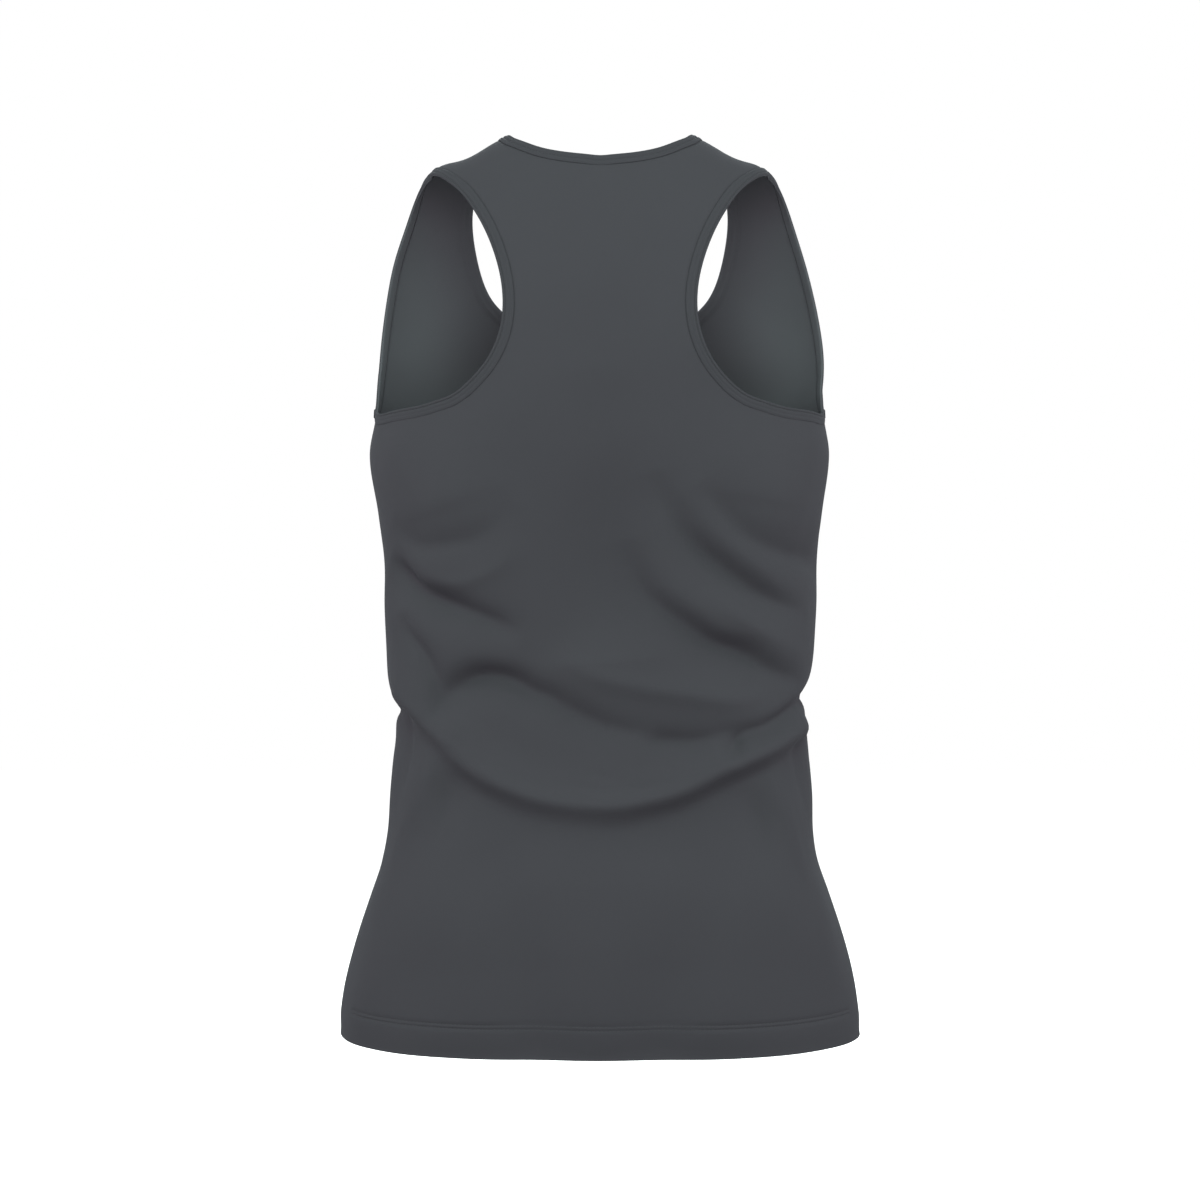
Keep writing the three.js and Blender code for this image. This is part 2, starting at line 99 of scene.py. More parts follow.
# Cut lines of the panels, where the bindings are sewn on: (x, z).
BACK_NECK_CUT = (
    (0, -18.5), (18, -16.6), (35, -12.8), (48, -8.0), (60, -1.2), (67.5, 3.6),
)
FRONT_NECK_CUT = (
    (0, -132.5), (24, -130.4), (46, -123.6), (64.5, -114.2), (78, -103.4), (87.5, -92.5),
    (94.5, -76.0), (98.8, -55.0), (99.6, -36.0), (95.5, -19.0), (87, -5.0), (77.5, 4.6),
)
BACK_ARM_CUT = (
    (154.8, -187.6), (144.5, -190.2), (129.7, -190.5), (115, -188.9), (100.3, -183.8),
    (86, -175.4), (70.1, -159.2), (60.2, -138.0), (57.1, -115.0), (60, -91.0), (69, -64.5),
    (80, -43.8), (91.5, -27.2), (104, -17.4), (112.3, -12.6),
)
FRONT_ARM_CUT = (
    (155.6, -174.0), (155.8, -158.0), (154.6, -133.5), (151.0, -106.0), (143.6, -73.0),
    (134.4, -46.5), (126.2, -25.5), (119.6, -14.0),
)

# Each fold has a narrower core, so that its line is crisp while its sides stay soft. Broad rolls have none.
FOLD_CORE = 0.34
FOLD_CORE_WIDTH = 0.42
FOLD_BROAD = 30.0
FOLD_BROAD_RANGE = 14.0

# Folds. The path runs round the body and down it: turn in degrees from the centre back, positive to
# the wearer's left, height, and share of the depth. Depth is inward, so a ridge is negative. Above
# and below are the half widths.
FOLD_ROWS = (
    (
        (
            (10, -346, 0), (5, -356, 0.5), (0, -363, 0.8), (-10, -370, 1), (-17, -373, 1),
            (-24, -376, 1), (-31, -378, 0.9), (-40, -376, 0.6), (-48, -373, 0),
        ),
        -4.2, 14, 14,
    ),
    (
        (
            (-24, -305, 0), (-30, -318, 0.6), (-38, -329, 1), (-47, -338, 0.7), (-57, -346, 0.4),
            (-70, -353, 0),
        ),
        -3.0, 13, 9,
    ),
    (
        (
            (66, -284, 0), (58, -295, 0.95), (48, -306, 1), (38, -314, 1), (30, -321, 0.75),
            (24, -327, 0.6), (17, -336, 0),
        ),
        10.6, 10, 17,
    ),
    (
        (
            (60, -258, 0), (52, -271, 0.8), (44, -275, 1), (35, -273, 1), (27, -268, 0.8),
            (18, -246, 0),
        ),
        4.5, 20, 12,
    ),
    (((58, -291, 0), (43, -299, 0.8), (32, -300, 1), (22, -288, 0.7), (17, -269, 0)), -2.2, 10, 9),
    (
        (
            (59, -319, 0), (55, -335, 0.9), (48, -348, 1), (44, -360, 1), (42, -372, 0.8),
            (41, -384, 0.4),
        ),
        5.4, 10, 13,
    ),
    (
        (
            (42.7, -387, 0.3), (38.7, -377, 0.6), (33.8, -369, 0.85), (29.3, -364, 1),
            (24.7, -363, 1), (19.7, -366, 0.95), (15, -373, 0.8), (10.5, -378, 0.65),
            (5.4, -387, 0.6), (-1.1, -396, 0.5), (-8.8, -401, 0.3), (-14.5, -406, 0.12),
            (-18, -408, 0),
        ),
        10.9, 10.5, 18,
    ),
    (
        (
            (-9, -407, 0), (-14.5, -405, 0.8), (-20.5, -406, 1), (-26, -404, 0.8), (-31, -400, 0.6),
            (-42, -397, 0),
        ),
        5.4, 9, 13,
    ),
    (
        (
            (-29, -419, 0), (-30.6, -413, 0.5), (-33, -406, 0.7), (-37, -401, 0.75), (-43, -397, 0.9),
            (-51, -391, 1), (-62, -383, 1), (-76, -381, 0.9), (-92, -385, 0),
        ),
        7.2, 7, 12,
    ),
    (
        (
            (-11, -227, 0), (-12.8, -241, 0.25), (-16, -256, 0.5), (-20, -272, 0.8),
            (-26, -286, 0.95), (-35, -301, 1), (-43, -310, 0.85), (-53, -317, 0.5), (-66, -322, 0),
        ),
        9.2, 8.5, 19,
    ),
    (
        (
            (-21.5, -233, 0), (-28, -253, 0.8), (-37, -271, 0.9), (-52, -281, 1), (-67, -283, 1.1),
            (-84, -288, 0),
        ),
        5.6, 18, 11,
    ),
    (
        (
            (-5.6, -272, 0), (-6.8, -289, 0.3), (-9.6, -307, 0.6), (-14, -319, 0.75),
            (-20, -331, 0.9), (-26, -341, 1), (-35, -348, 1), (-43, -357, 0.78), (-52, -364, 0.5),
            (-66, -373, 0),
        ),
        10.4, 8.5, 21,
    ),
    (
        (
            (76, -379, 0), (61, -378, 0.6), (50, -389, 0.9), (41, -402, 1), (35, -415, 1),
            (28, -427, 1), (21, -436, 1), (13, -444, 0.95), (4.4, -448, 0.9), (-4.4, -448, 0.95),
            (-12, -444, 1), (-20, -437, 1), (-27, -427, 1), (-37, -417, 1), (-48, -408, 0.9),
            (-64, -399, 0.75), (-78, -399, 0),
        ),
        -8.6, 20, 10.5,
    ),
    (
        (
            (63, -390, 1), (52, -401, 1), (43.6, -412, 0.95), (37, -426, 0.85), (31.4, -437, 0.75),
            (25.6, -446, 0.65), (19, -455, 0.42), (12, -459, 0.32), (4.3, -462, 0.34),
            (-3.3, -465, 0.5), (-11, -459, 0.85), (-18, -454, 1), (-25.6, -445, 1),
            (-34.4, -435, 0.95), (-45, -427, 0.85), (-64, -415, 0.7), (-76, -413, 0),
        ),
        3.8, 7.5, 34,
    ),
    (((58, -388, 0), (74, -389, 0.9), (90, -389, 1), (108, -392, 0.8), (128, -398, 0)), 5.6, 20, 34),
    (((64, -388, 0), (76, -389, 0.9), (90, -389, 1), (104, -392, 0.8), (116, -396, 0)), 4.2, 7, 6),
    (((-58, -376, 0), (-75, -377, 0.9), (-90, -379, 1), (-106, -384, 0.8), (-126, -392, 0)), 5.6, 20, 29),
    (((-62, -374, 0), (-76, -376, 0.9), (-90, -379, 1), (-104, -384, 0.8), (-116, -390, 0)), 4.2, 7, 6),
    (((50, -386, 0), (43, -396, 1), (35, -406, 0.8), (28, -414, 0)), 0.9, 4, 4),
    (((46, -396, 0), (38, -408, 1), (31, -417, 1), (24, -424, 0)), 0.8, 3.5, 4),
    (((43, -404, 0), (35, -416, 1), (27, -428, 0.6), (21, -433, 0)), 0.7, 3.5, 3.5),
    (((4, -424, 0), (-2, -430, 1), (-9, -431, 0)), 0.7, 4, 4),
    (((10, -432, 0), (0, -437, 0.8), (-9, -436, 1), (-16, -432, 0)), 0.8, 4, 4),
    (((-32, -402, 0), (-33.5, -406, 1), (-33, -412, 0.8), (-31.5, -417, 0)), 2.2, 4, 4),
    (((60, -394, 1), (61, -412, 1), (63, -428, 0.8), (65, -444, 0.3), (66, -458, 0)), 4.2, 17, 17),
    (((-63, -412, 1), (-66, -430, 0.8), (-68, -446, 0.4), (-69, -462, 0)), 3.6, 17, 17),
    (((43, -411, 0.2), (47, -429, 1), (52, -450, 1), (60, -474, 0.6), (64, -501, 0)), -3.8, 17, 17),
    (((-46, -424, 0.2), (-49, -443, 1), (-54, -463, 1), (-58, -487, 0.6), (-61, -507, 0)), -3.6, 17, 17),
    (((37, -425, 0), (39, -445, 1), (41, -465, 0.7), (42, -491, 0)), 3.4, 16, 16),
    (((-38, -435, 0), (-40, -455, 1), (-41.5, -475, 0.6), (-42, -498, 0)), 3.2, 16, 16),
    (
        (
            (0, -160, 0), (0, -203, 0.36), (0, -250, 0.82), (-0.6, -292, 1), (-1.3, -325, 0.7),
            (-2, -352, 0),
        ),
        13.0, 34, 34,
    ),
    (((38, -165, 0), (38, -195, 0.35), (37, -222, 0.75), (36, -243, 1), (35, -254, 0.8)), -6.0, 36, 32),
    (
        (
            (-38, -165, 0), (-39, -195, 0.35), (-40, -220, 0.75), (-41, -240, 1), (-41, -250, 0.8),
        ),
        -4.6, 36, 32,
    ),
    (((26, -470, 0), (18, -530, 0.8), (13, -600, 1)), 5.6, 26, 26),
    (((-22, -470, 0), (-18, -530, 0.8), (-13, -600, 1)), 5.4, 26, 26),
    (((112, -292, 0), (122, -302, 1), (137, -318, 0.8), (150, -334, 0.5), (162, -350, 0)), 5.2, 7, 14),
    (((-110, -284, 0), (-120, -300, 0.8), (-138, -322, 1), (-152, -334, 0.6), (-166, -342, 0)), 5.4, 7, 14),
    (
        (
            (118, -352, 0), (130, -366, 0.8), (143, -372, 1), (158, -367, 0.9), (176, -368, 0.5),
            (200, -386, 0),
        ),
        4.8, 7, 13,
    ),
    (((-118, -336, 0), (-130, -352, 1), (-142, -363, 0.8), (-158, -373, 0)), 4.2, 7, 12),
    (
        (
            (106, -376, 0), (118, -390, 0.7), (135, -408, 1), (160, -428, 1), (182, -434, 0.9),
            (205, -426, 1), (226, -406, 1), (240, -392, 0.7), (252, -378, 0),
        ),
        -4.4, 24, 8,
    ),
    (
        (
            (108, -392, 0), (120, -405, 0.8), (136, -422, 1), (160, -441, 0.7), (182, -448, 0.5),
            (205, -440, 0.8), (226, -420, 1), (240, -406, 0.8), (252, -392, 0),
        ),
        5.2, 6, 20,
    ),
    (((128, -418, 0), (126, -432, 1), (122, -458, 0.8), (118, -486, 0)), -3.0, 11, 11),
    (((-130, -420, 0), (-127, -436, 1), (-123, -458, 0.8), (-119, -482, 0)), -3.0, 11, 11),
    (((0, -500, 0), (0, -560, 0.55), (0, -612, 1)), 6.4, 72, 72),
    (((-125, -70, 0), (-119, -112, 0.9), (-114, -142, 1), (-108, -170, 0)), -2.6, 28, 28),
    (((90, -420, 0), (90, -450, 1), (90, -490, 0)), 2.0, 20, 20),
    (((-90, -420, 0), (-90, -455, 1), (-90, -490, 0)), -1.4, 20, 20),
    (((180, -215, 0), (179, -262, 1), (181, -325, 0)), 2.5, 30, 30),
    (((162, -490, 0), (165, -535, 1), (168, -590, 0)), 2.2, 24, 24),
    (((-164, -480, 0), (-168, -530, 1), (-172, -590, 0)), 2.2, 24, 24),
)

# How finely the cloth is divided.
BODY_ROWS = 168
BACK_CENTRE_ROWS = 66
BACK_NECK_ROWS = 26
FRONT_NECK_ROWS = 74
BACK_COLUMNS = 78
FRONT_COLUMNS = 66
BACK_TILT_Z = -250.0
BACK_CROWDING = 1.4
FRONT_LEAN_SHARE = 0.35
EDGE_SHARES = (0.0, 0.0035, 0.009)


def table(columns, rows):
    """The columns of a table, each by its name."""
    return {name: np.array(values, float) for name, values in zip(columns, zip(*rows))}


def mix(a, b, share):
    return a + (b - a) * share


def smooth_step(t):
    s = np.clip(t, 0.0, 1.0)
    return s * s * (3.0 - 2.0 * s)


SECTIONS = table(SECTION_COLUMNS, SECTION_ROWS)


def column_slopes(name):
    """Slope of a section column at each row, weighted by the neighbouring spans."""
    step = np.diff(SECTIONS["z"])
    rise = np.diff(SECTIONS[name]) / step
    inner = (rise[:-1] * step[1:] + rise[1:] * step[:-1]) / (step[1:] + step[:-1])
    return np.concatenate([rise[:1], inner, rise[-1:]])


SLOPES = {name: column_slopes(name) for name in ("half", "back", "front")}


def section(z, name):
    """A column of the section table at any height, as a smooth curve through its rows."""
    heights = SECTIONS["z"]
    z = np.clip(z, heights[0], heights[-1])
    row = np.clip(np.searchsorted(heights, z, side="right") - 1, 0, len(heights) - 2)
    step = heights[row + 1] - heights[row]
    t = (z - heights[row]) / step
    values = SECTIONS[name]
    slopes = SLOPES[name]
    start = (2 * t**3 - 3 * t**2 + 1) * values[row] + (t**3 - 2 * t**2 + t) * step * slopes[row]
    end = (3 * t**2 - 2 * t**3) * values[row + 1] + (t**3 - t**2) * step * slopes[row + 1]
    return start + end


def squareness(z):
    rise = smooth_step((z - SQUARE_FROM_Z) / (SQUARE_ABOVE_Z - SQUARE_FROM_Z))
    return mix(HEM_SQUARENESS, SQUARENESS, rise)


def ring_x(turn, z):
    square = squareness(z)
    return (np.sin(turn) + square * np.sin(3 * turn)) / (1 - square)


def ring_y(turn, z):
    square = squareness(z)
    return (np.cos(turn) - square * np.cos(3 * turn)) / (1 - square)


def turn_at(x, z):
    """The turn, between the centre and the side, at which a section is x wide."""
    share = np.minimum(1.0, x / section(z, "half"))
    low = np.zeros_like(share)
    high = np.full_like(share, math.pi / 2)
    for _ in range(40):
        middle = (low + high) / 2
        inside = ring_x(middle, z) < share
        low = np.where(inside, middle, low)
        high = np.where(inside, high, middle)
    return (low + high) / 2


def shoulder_z(x):
    out = np.hypot(x, SHOULDER_ROUND) - math.hypot(SHOULDER_TOP_X, SHOULDER_ROUND)
    beyond = np.maximum(0.0, np.abs(x) - SHOULDER_FALL_FROM)
    sink = SHOULDER_SINK * np.exp(-(((np.abs(x) - SHOULDER_SINK_X) / SHOULDER_SINK_HALF) ** 2))
    return SHOULDER_TOP - SHOULDER_SLOPE * out - SHOULDER_FALL * beyond**2 - sink


def climb_for(turn, z):
    """Distance gone down the cloth from the shoulder line, for a turn and a height."""
    x = section(z, "half") * ring_x(turn, z)
    drop = np.maximum(0.0, shoulder_z(x) - z)
    return np.sqrt((drop + SHOULDER_CURL) ** 2 - SHOULDER_CURL**2)


def form_point(turn, climb):
    """Points of the smooth form at turns round the body and distances down from the shoulder."""
    drop = np.hypot(climb, SHOULDER_CURL) - SHOULDER_CURL
    z = -drop
    x = z
    for _ in range(25):
        x = section(z, "half") * ring_x(turn, z)
        z = shoulder_z(x) - drop
    depth = np.where(np.cos(turn) > 0, section(z, "back"), section(z, "front"))
    arch = np.sign(climb) * np.sqrt(1 - np.exp(-drop / SHOULDER_CURL))
    return np.stack([x, depth * ring_y(turn, z) * arch, z], axis=-1)


def form_normal(turn, climb):
    """Directions out of the smooth form."""
    small_turn = 0.004
    small_climb = 0.4
    along = form_point(turn + small_turn, climb) - form_point(turn - small_turn, climb)
    down = form_point(turn, climb + small_climb) - form_point(turn, climb - small_climb)
    normal = np.cross(along, down)
    return normal / np.linalg.norm(normal, axis=-1, keepdims=True)


def through(marks, per_span):
    """A smooth line through marks, with its first and last spans held straight."""
    marks = np.asarray(marks, float)
    padded = np.vstack([2 * marks[0] - marks[1], marks, 2 * marks[-1] - marks[-2]])
    t = np.linspace(0, 1, per_span, endpoint=False)[:, None]
    spans = []
    for i in range(len(marks) - 1):
        a, b, c, d = padded[i:i + 4]
        spans.append(
            0.5 * (2 * b + (c - a) * t + (2 * a - 5 * b + 4 * c - d) * t**2 + (3 * b - a - 3 * c + d) * t**3)
        )
    return np.vstack(spans + [marks[-1:]])


def fold_line(path):
    """A fold's path laid on the form, with its share of the depth at each point."""
    line = through(path, max(3, 30 // (len(path) - 1)))
    turn = np.radians(line[:, 0])
    return form_point(turn, climb_for(turn, line[:, 1])), np.maximum(0.0, line[:, 2])


def fold_depth(points, path, depth, above, below):
    """How far one fold moves each point of the form inward."""
    line, strength = fold_line(path)
    nearest = np.full(len(points), np.inf)
    share = np.zeros(len(points))
    height = np.zeros(len(points))
    spans = len(line) - 1
    for i in range(spans):
        span = line[i + 1] - line[i]
        reach = points - line[i]
        t = np.clip(reach @ span / (span @ span), 0.0, 1.0)
        foot = line[i] + t[:, None] * span
        distance = np.linalg.norm(points - foot, axis=1)
        closer = distance < nearest
        nearest = np.where(closer, distance, nearest)
        share = np.where(closer, mix(strength[i], strength[i + 1], t), share)
        height = np.where(closer, points[:, 2] - foot[:, 2], height)
    width = mix(below, above, smooth_step(0.5 + height / (above + below)))
    core = width * FOLD_CORE_WIDTH
    crisp = FOLD_CORE * smooth_step((FOLD_BROAD - width) / FOLD_BROAD_RANGE)
    across = mix(np.exp(-((nearest / width) ** 2)), np.exp(-((nearest / core) ** 2)), crisp)
    return depth * across * share


def cloth_at(turn, climb):
    """Cloth points with their folds, and the directions out of the cloth."""
    shape = turn.shape
    points = form_point(turn, climb).reshape(-1, 3)
    normals = form_normal(turn, climb).reshape(-1, 3)
    inward = np.zeros(len(points))
    for row in FOLD_ROWS:
        inward += fold_depth(points, *row)
    points = points - normals * inward[:, None]
    return points.reshape(*shape, 3), normals.reshape(*shape, 3)


def shoulder_mark(x):
    turn = turn_at(np.array([x]), shoulder_z(np.array([x])))
    return np.array([[math.degrees(turn[0]), 0.0]])


underarm_mark = np.array([[90.0, climb_for(np.array([math.pi / 2]), np.array([UNDERARM_Z]))[0]]])


def marks_of(rows, start, x_at_shoulder):
    """A cut line's marks as turn and climb, from its start up to the shoulder line."""
    rows = np.array(rows, float)
    turn = turn_at(rows[:, 0], rows[:, 1])
    inside = np.stack([np.degrees(turn), climb_for(turn, rows[:, 1])], axis=1)
    return np.vstack([*start, inside, shoulder_mark(x_at_shoulder)])


def cut_line(marks, opposite, from_side, count):
    """A cut line as evenly spaced turn and climb, running smoothly into the opposite panel's line."""
    if from_side:
        before = np.array([180 - opposite[1, 0], opposite[1, 1]])
    else:
        before = np.array([-marks[1, 0], marks[1, 1]])
    after = np.array([opposite[-2, 0], -opposite[-2, 1]])
    per_span = CUT_LINE_STEPS
    line = through(np.vstack([before, marks, after]), per_span)
    # The line's small corners at its marks are evened out, but not at its ends.
    spread = np.hanning(2 * per_span + 1)
    soft = np.stack([np.convolve(part, spread / spread.sum(), "same") for part in line.T], axis=1)
    inner = np.arange(len(line)) - per_span
    from_end = np.minimum(inner, inner[::-1]) / per_span
    line = mix(line, soft, smooth_step(from_end)[:, None])[per_span:-per_span]
    placed = form_point(np.radians(line[:, 0]), line[:, 1])
    length = np.concatenate([[0], np.cumsum(np.linalg.norm(np.diff(placed, axis=0), axis=1))])
    even = np.linspace(0, length[-1], count + 1)
    return np.radians(np.interp(even, length, line[:, 0])), np.interp(even, length, line[:, 1])


BACK_UPPER_ROWS = BACK_CENTRE_ROWS + BACK_NECK_ROWS
back_neck_marks = marks_of(BACK_NECK_CUT, [], SHOULDER_NECK_X)
front_neck_marks = marks_of(FRONT_NECK_CUT, [], SHOULDER_NECK_X)
back_arm_marks = marks_of(BACK_ARM_CUT, [underarm_mark], SHOULDER_ARM_X)
front_arm_marks = marks_of(FRONT_ARM_CUT, [underarm_mark], SHOULDER_ARM_X)
back_neck = cut_line(back_neck_marks, front_neck_marks, False, BACK_NECK_ROWS)
front_neck = cut_line(front_neck_marks, back_neck_marks, False, FRONT_NECK_ROWS)
back_arm = cut_line(back_arm_marks, front_arm_marks, True, BACK_UPPER_ROWS)
front_arm = cut_line(front_arm_marks, back_arm_marks, True, FRONT_NECK_ROWS)

# Twin needle rows of the hem, and how the cloth sinks and is held there.
HEM_STITCH_UP = (19.6, 22.2)
HEM_STITCH_MIDDLE = sum(HEM_STITCH_UP) / 2
HEM_STITCH_HALF_GAP = (HEM_STITCH_UP[1] - HEM_STITCH_UP[0]) / 2
HEM_STITCH_TO = math.radians(68)
HEM_ROUND = 168.0
HEM_GROOVE = 0.5
HEM_GROOVE_HALF = 0.7
HEM_TUCK = 1.7
HEM_TUCK_UP = 19.0
FOLD_EDGE_UP = (0.0, 0.25, 0.6, 1.4)


def body_heights(top_z):
    """Heights of the rows below the underarm, close together at the hem's edge and stitches."""
    groove = []
    for up in HEM_STITCH_UP:
        groove += [up - 0.8, up - 0.4, up, up + 0.4, up + 0.8]
    lower = np.linspace(FOLD_EDGE_UP[-1], groove[0], 9)[1:-1]
    hem = HEM_Z + np.array([*FOLD_EDGE_UP, *lower, *groove])
    rest = np.linspace(hem[-1], top_z, BODY_ROWS - len(hem) + 2)[1:]
    return np.concatenate([hem, rest])


def places_at(turn, heights):
    turns = np.full(len(heights), turn)
    return turns, climb_for(turns, heights)


def panel_rows(is_front):
    """Inner and outer places of each row of a half panel, and how far the row follows the shoulder."""
    centre_top = FRONT_NECK_CUT[0][1] if is_front else BACK_TILT_Z
    centre = places_at(0.0, body_heights(centre_top))
    side = places_at(math.pi / 2, body_heights(UNDERARM_Z))
    lean = np.zeros(len(centre[0]))
    if is_front:
        inner = front_neck[0][1:], front_neck[1][1:]
        outer = front_arm[0][1:], front_arm[1][1:]
        upper_lean = smooth_step(np.arange(1, FRONT_NECK_ROWS + 1) / (FRONT_LEAN_SHARE * FRONT_NECK_ROWS))
    else:
        rise = (np.arange(1, BACK_CENTRE_ROWS + 1) / BACK_CENTRE_ROWS) ** BACK_CROWDING
        centre_line = places_at(0.0, mix(BACK_TILT_Z, BACK_NECK_CUT[0][1], rise))
        inner = tuple(np.concatenate([centre_line[k], back_neck[k][1:]]) for k in (0, 1))
        outer = back_arm[0][1:], back_arm[1][1:]
        upper_lean = smooth_step(np.arange(1, BACK_UPPER_ROWS + 1) / BACK_CENTRE_ROWS)
    inner = tuple(np.concatenate([centre[k], inner[k]]) for k in (0, 1))
    outer = tuple(np.concatenate([side[k], outer[k]]) for k in (0, 1))
    return inner, outer, np.concatenate([lean, upper_lean])


def column_shares(columns):
    middle = np.linspace(0, 1, columns + 1)[1:-1]
    return np.concatenate([EDGE_SHARES, middle, 1 - np.array(EDGE_SHARES[::-1])])


def half_panel(is_front, columns):
    """Turn and climb of each point of a half panel, in rows from the centre outwards."""
    inner, outer, lean = panel_rows(is_front)
    share = column_shares(columns)[None, :]
    turn = mix(inner[0][:, None], outer[0][:, None], share)
    inner_z = form_point(*inner)[:, 2][:, None]
    outer_z = form_point(*outer)[:, 2][:, None]
    level = climb_for(turn, mix(inner_z, outer_z, share))
    high = mix(inner[1][:, None], outer[1][:, None], share)
    return turn, mix(level, high, lean[:, None])


# Shallow unevenness of worn jersey: waves round the body, waves down it, height and phase.
WAVE_ROWS = (
    (5, 0.021, 0.35, 0.3),
    (9, -0.034, 0.28, 1.9),
    (13, 0.055, 0.20, 4.1),
    (4, -0.071, 0.22, 2.6),
    (17, 0.012, 0.14, 5.2),
    (7, 0.096, 0.12, 0.9),
)
SEAM_DIP = 0.5
SEAM_DIP_HALF = 1.5
PUCKER = 0.09
PUCKER_WAVE = 9.0
PUCKER_REACH = 7.0


def waves(turn, points):
    total = np.zeros(turn.shape)
    for around, down, height, phase in WAVE_ROWS:
        total += height * np.sin(around * turn + down * points[..., 2] + phase)
    return total


def hem_shape(turn, points):
    """The hem turns in a little towards its edge, and sinks under its two joined needle rows."""
    up = points[..., 2] - HEM_Z
    tuck = HEM_TUCK * smooth_step((HEM_TUCK_UP - up) / HEM_TUCK_UP) ** 1.5
    from_centre = np.minimum(np.abs(turn), math.pi - np.abs(turn))
    beyond = np.maximum(0.0, from_centre - HEM_STITCH_TO) * HEM_ROUND
    off_row = np.abs(np.hypot(beyond, up - HEM_STITCH_MIDDLE) - HEM_STITCH_HALF_GAP)
    return tuck + HEM_GROOVE * np.exp(-((off_row / HEM_GROOVE_HALF) ** 2))


def edge_distance(points, from_inner):
    """Distance along each row from its inner or outer end."""
    steps = np.linalg.norm(np.diff(points, axis=1), axis=2)
    run = np.concatenate([np.zeros((len(points), 1)), np.cumsum(steps, axis=1)], axis=1)
    return run if from_inner else run[:, -1:] - run


def seam_shape(points, first_neck_row, first_arm_row):
    """The cloth dips into its seams, and puckers a little beside the bindings."""
    along = np.linalg.norm(np.diff(points[:, -1], axis=0), axis=1)
    run = np.concatenate([[0], np.cumsum(along)])[:, None]
    outer = edge_distance(points, False)
    inner = edge_distance(points, True)
    rows = np.arange(len(points))[:, None]
    dip = SEAM_DIP * np.exp(-((outer / SEAM_DIP_HALF) ** 2))
    pucker = np.sin(2 * math.pi * run / PUCKER_WAVE) * np.sin(0.31 * run)
    ruck = PUCKER * pucker * np.exp(-(((outer - 3.0) / PUCKER_REACH) ** 2)) * (rows > first_arm_row)
    neck = rows > first_neck_row
    dip += SEAM_DIP * np.exp(-((inner / SEAM_DIP_HALF) ** 2)) * neck
    return dip + ruck


def cloth_across(turn, climb):
    """Distance round the cloth from the centre at each point's own height, for the knit."""
    heights = form_point(turn, climb)[..., 2]
    steps = 16
    total = np.zeros(turn.shape)
    last = form_point(np.zeros(turn.shape), climb_for(np.zeros(turn.shape), heights))
    for k in range(1, steps + 1):
        part = turn * k / steps
        here = form_point(part, climb_for(part, heights))
        total += np.linalg.norm(here - last, axis=-1)
        last = here
    return total


def closed_wall(points, normals, thickness, quads):
    """Points and faces of a closed wall, from its outer points and faces."""
    count = len(points)
    inside = points - normals * thickness[:, None]
    faces = [tuple(q) for q in quads]
    faces += [tuple(i + count for i in reversed(q)) for q in quads]
    used = set()
    for a, b, c, d in quads:
        used.update(((a, b), (b, c), (c, d), (d, a)))
    for a, b in used:
        if (b, a) not in used:
            faces.append((b, a, a + count, b + count))
    return np.vstack([points, inside]), faces


def mesh_object(name, points, faces, uv, material):
    """A mesh object in metres, with its own UV map in metres of cloth."""
    mesh = bpy.data.meshes.new(name)
    mesh.from_pydata((np.asarray(points) * MM).tolist(), [], faces)
    layer = mesh.uv_layers.new(name="cloth")
    corner = np.zeros(len(mesh.loops), np.int32)
    mesh.loops.foreach_get("vertex_index", corner)
    layer.data.foreach_set("uv", (np.asarray(uv)[corner] * MM).astype(np.float32).ravel())
    mesh.polygons.foreach_set("use_smooth", np.ones(len(mesh.polygons), bool))
    mesh.update()
    mesh.validate()
    mesh.materials.append(material)
    piece = bpy.data.objects.new(name, mesh)
    bpy.context.collection.objects.link(piece)
    return piece


def sharpen(piece, degrees):
    """Keep the wall's rims crisp and the rest smooth."""
    bpy.ops.object.select_all(action="DESELECT")
    piece.select_set(True)
    bpy.context.view_layer.objects.active = piece
    bpy.ops.object.shade_smooth_by_angle(angle=math.radians(degrees))


